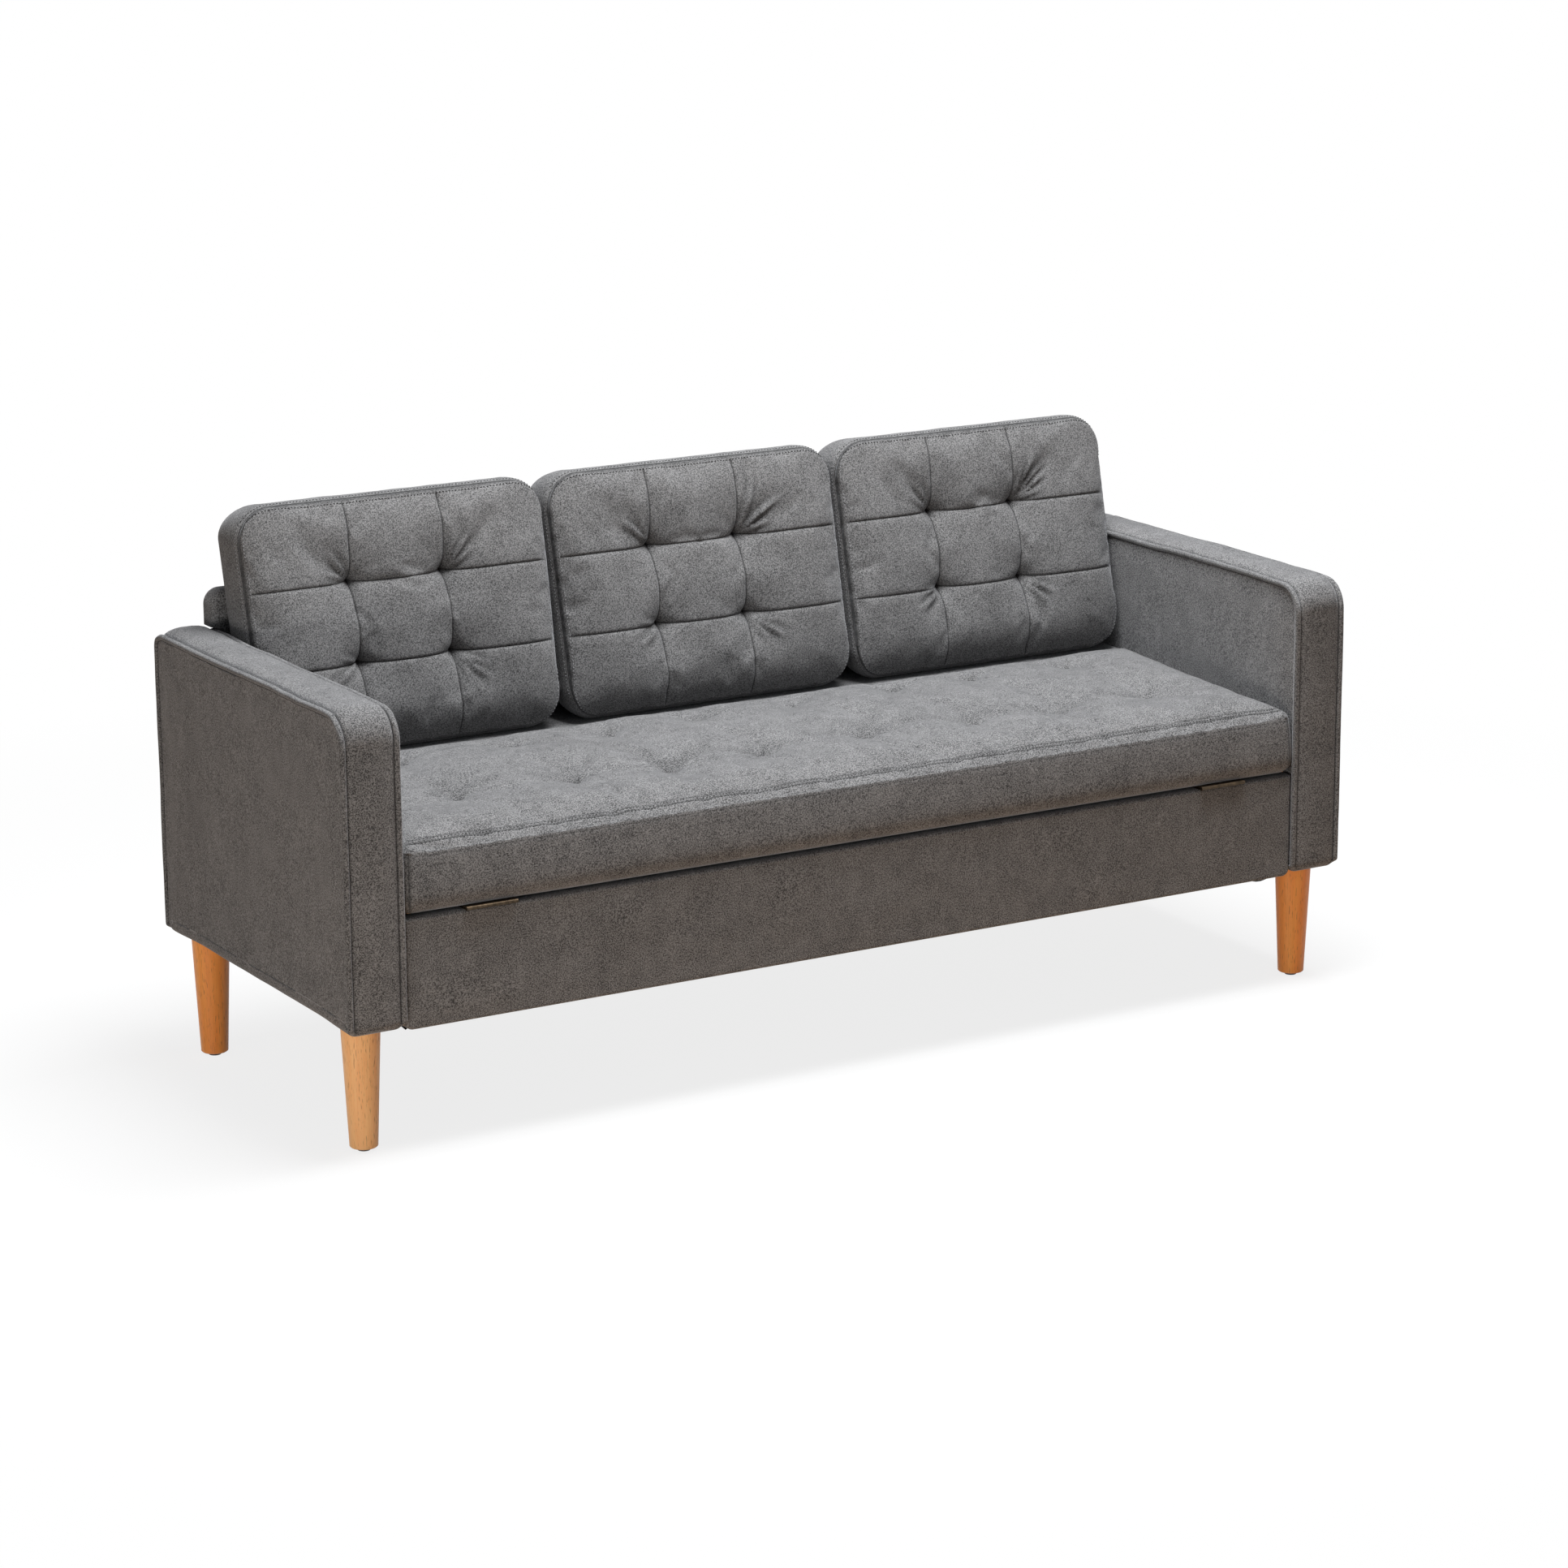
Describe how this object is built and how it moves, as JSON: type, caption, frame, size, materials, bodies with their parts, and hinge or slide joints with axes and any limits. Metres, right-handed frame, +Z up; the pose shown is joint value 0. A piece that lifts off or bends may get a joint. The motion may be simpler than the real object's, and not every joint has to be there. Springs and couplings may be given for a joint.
{
  "type": "storage sofa with lift-up seat",
  "caption": "Slim storage sofa on turned legs: padded box arms, loose tufted back cushions and a tufted seat that hinges up over a storage box.",
  "frame": {"origin": "on the floor under the middle of the sofa's box", "axes": "+X to the right seen from the front, +Y from front to back, +Z up"},
  "size_m": [1.69, 0.63, 0.82],
  "materials": {
    "upholstery_fabric": "brushed dark grey velour",
    "beech": "clear-lacquered beech, warm orange",
    "plywood": "bare plywood",
    "pine": "sawn pine",
    "foam": "cut foam",
    "filling": "fibre-wrapped foam",
    "black_cloth": "thin non-woven cloth",
    "hinge_brass": "brass plated, dull",
    "zinc_steel": "zinc plated",
    "black_plastic": "matt black"
  },
  "bodies": {
    "sofa": {"arm_bolts": "zinc_steel", "back_bolts": "zinc_steel", "back_cover": "upholstery_fabric", "back_frame": "pine", "back_panel": "plywood", "bolt_washers": "zinc_steel", "bottom_battens": "pine", "bottom_board": "plywood", "bottom_slats": "pine", "box_rear_board": "plywood", "box_screws": "zinc_steel", "deck_board": "plywood", "deck_cover": "upholstery_fabric", "deck_rail": "pine", "deck_screws": "zinc_steel", "dust_cover": "black_cloth", "front_left_leg": "beech", "front_panel_board": "plywood", "front_panel_cover": "upholstery_fabric", "front_right_leg": "beech", "hinge_box_screws": "hinge_brass", "hinge_fixed_leaves": "hinge_brass", "hinge_pins": "hinge_brass", "left_arm_cover": "upholstery_fabric", "left_arm_frame": "pine", "left_arm_inner_panel": "plywood", "left_arm_outer_panel": "plywood", "left_box_end": "plywood", "leg_glides": "black_plastic", "leg_hanger_bolts": "zinc_steel", "leg_plate_screws": "zinc_steel", "leg_plates": "zinc_steel", "rear_left_leg": "beech", "rear_right_leg": "beech", "right_arm_cover": "upholstery_fabric", "right_arm_frame": "pine", "right_arm_inner_panel": "plywood", "right_arm_outer_panel": "plywood", "right_box_end": "plywood", "tee_nuts": "zinc_steel"},
    "seat": {"seat_board": "plywood", "seat_foam": "foam", "seat_cover": "upholstery_fabric", "hinge_seat_leaves": "hinge_brass", "hinge_seat_screws": "hinge_brass"},
    "left_back_cushion": {"left_cushion_cover": "upholstery_fabric", "left_cushion_filling": "filling"},
    "middle_back_cushion": {"middle_cushion_cover": "upholstery_fabric", "middle_cushion_filling": "filling"},
    "right_back_cushion": {"right_cushion_cover": "upholstery_fabric", "right_cushion_filling": "filling"}
  },
  "joints": [
    {"name": "seat_lift", "type": "hinge", "parent": "sofa", "child": "seat", "pos_m": [0, -0.3115, 0.34], "axis": [1, 0, 0], "range_deg": [0, 100]},
    {"name": "left_cushion_lift", "type": "slide", "parent": "sofa", "child": "left_back_cushion", "axis": [0, 0, 1], "range_m": [0, 0.3]},
    {"name": "middle_cushion_lift", "type": "slide", "parent": "sofa", "child": "middle_back_cushion", "axis": [0, 0, 1], "range_m": [0, 0.3]},
    {"name": "right_cushion_lift", "type": "slide", "parent": "sofa", "child": "right_back_cushion", "axis": [0, 0, 1], "range_m": [0, 0.3]}
  ]
}
